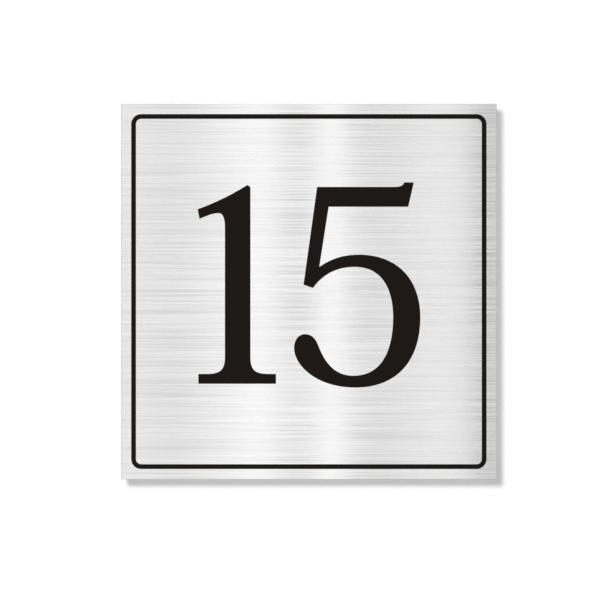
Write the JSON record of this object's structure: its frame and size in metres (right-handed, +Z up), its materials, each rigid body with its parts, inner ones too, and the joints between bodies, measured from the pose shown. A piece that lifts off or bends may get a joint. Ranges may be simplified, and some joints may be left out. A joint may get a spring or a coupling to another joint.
{
  "type": "house number sign",
  "caption": "Square brushed steel house number sign with an engraved border line and serif numerals in black enamel, fixed by its flat back to a wall, door or gate.",
  "frame": {"origin": "middle of the flat back face", "axes": "+Z up and +X to the right as the sign is read; the front faces -Y and the back faces +Y"},
  "size_m": [0.15, 0.003, 0.15],
  "materials": {
    "steel": "brushed along the horizontal",
    "enamel": "black enamel, satin"
  },
  "bodies": {
    "root": {"plate": "steel", "border_enamel": "enamel", "numeral_one_enamel": "enamel", "numeral_five_enamel": "enamel"}
  },
  "joints": []
}
